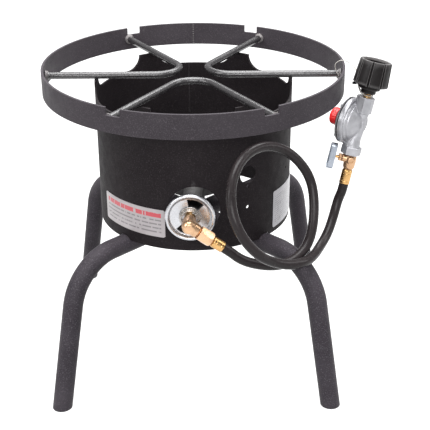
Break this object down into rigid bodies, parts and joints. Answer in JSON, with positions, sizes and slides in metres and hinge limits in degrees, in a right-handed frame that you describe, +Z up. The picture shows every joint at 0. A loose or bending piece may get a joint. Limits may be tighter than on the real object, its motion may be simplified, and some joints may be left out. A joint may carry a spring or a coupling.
{
  "type": "propane burner stand",
  "caption": "Four-legged outdoor gas burner stand with a ring band, bent pot rods, a round windscreen, an air shutter, and a hose with its regulator and hand nut.",
  "frame": {"origin": "on the floor, under the axis of the ring band and the windscreen", "axes": "+Z up along the ring's axis; the air intake faces -Y; the regulator hangs at +X"},
  "size_m": [0.4592, 0.414, 0.4506],
  "materials": {
    "black_powder_coat": "fine-textured satin black",
    "cast_iron": "rough sand casting",
    "zinc": "zinc plated",
    "spring_steel": "drawn wire",
    "brass": "machined",
    "rubber": "smooth satin",
    "die_cast": "as die cast",
    "red_plastic": "moulded",
    "black_plastic": "moulded",
    "label_film": "printed film",
    "white_plastic": "moulded"
  },
  "bodies": {
    "stand": {"ring_band": "black_powder_coat", "pot_rod_right": "black_powder_coat", "pot_rod_left": "black_powder_coat", "pot_rod_front": "black_powder_coat", "windscreen": "black_powder_coat", "leg_back_right": "black_powder_coat", "leg_back_left": "black_powder_coat", "leg_front_left": "black_powder_coat", "leg_front_right": "black_powder_coat", "burner_casting": "cast_iron", "burner_head_plate": "cast_iron", "burner_head_screw": "zinc", "burner_bolt": "zinc", "shutter_spring": "spring_steel", "orifice_spud": "brass", "brass_elbow": "brass", "flare_nut": "brass", "lower_ferrule": "brass", "gas_hose": "rubber", "upper_ferrule": "brass", "valve_body": "brass", "packing_nut": "brass", "regulator_body": "die_cast", "regulator_diaphragm": "rubber", "regulator_bonnet": "die_cast", "bonnet_screw_1": "zinc", "bonnet_screw_2": "zinc", "bonnet_screw_3": "zinc", "bonnet_screw_4": "zinc", "spring_plate": "zinc", "regulator_spring": "spring_steel", "inlet_nipple": "brass", "nipple_seal": "rubber", "regulator_tie": "white_plastic", "tie_toggle": "black_plastic", "left_label": "label_film", "right_label": "label_film"},
    "air_shutter": {"air_shutter": "zinc"},
    "valve_handle": {"valve_stem": "brass", "valve_handle": "zinc", "handle_screw": "zinc"},
    "regulator_knob": {"regulator_knob": "red_plastic", "adjusting_screw": "brass"},
    "tank_nut": {"tank_nut": "black_plastic"}
  },
  "joints": [
    {"name": "air_shutter_turn", "type": "hinge", "parent": "stand", "child": "air_shutter", "pos_m": [0, 0, 0.27], "axis": [-0.0332, -0.9995, 0], "range_deg": [-90, 90]},
    {"name": "valve_handle_turn", "type": "hinge", "parent": "stand", "child": "valve_handle", "pos_m": [0.20798, -0.07155, 0.31494], "axis": [-0.9772, 0, 0.2121], "range_deg": [-720, 180]},
    {"name": "regulator_knob_turn", "type": "hinge", "parent": "stand", "child": "regulator_knob", "pos_m": [0.20863, -0.05924, 0.36407], "axis": [-0.7975, 0.5981, 0.0797], "range_deg": [-1080, 360]},
    {"name": "tank_nut_spin", "type": "hinge", "parent": "stand", "child": "tank_nut", "pos_m": [0.2007, -0.075, 0.2814], "axis": [0.2111, 0.1, 0.9723], "continuous": true}
  ]
}
